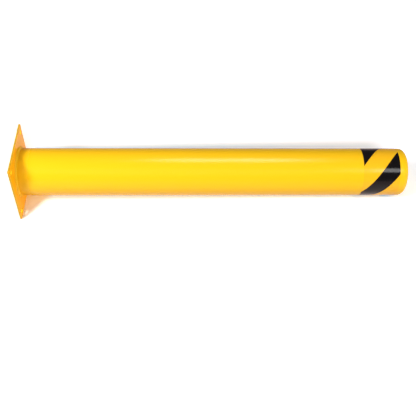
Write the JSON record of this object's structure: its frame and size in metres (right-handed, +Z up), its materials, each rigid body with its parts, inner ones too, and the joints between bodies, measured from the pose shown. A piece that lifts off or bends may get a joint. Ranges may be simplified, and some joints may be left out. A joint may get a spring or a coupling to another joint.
{
  "type": "safety bollard",
  "caption": "Upright steel pipe bollard with a rounded cap, welded to a square base plate with anchor holes, with a band of slanted black and yellow hazard tape near the top.",
  "frame": {"origin": "centre of the base plate's underside, on the floor", "axes": "+Z up along the pipe, +X and +Y square to the base plate's sides"},
  "size_m": [0.2, 0.2, 1.15],
  "materials": {
    "powder_coat": "semi-gloss powder coat on steel",
    "tape_yellow": "glossy vinyl film",
    "tape_black": "glossy black print on vinyl film"
  },
  "bodies": {
    "root": {"base_plate": "powder_coat", "foot_weld": "powder_coat", "post_pipe": "powder_coat", "seam_weld": "powder_coat", "top_cap": "powder_coat", "tape_film": "tape_yellow", "tape_stripes": "tape_black"}
  },
  "joints": []
}
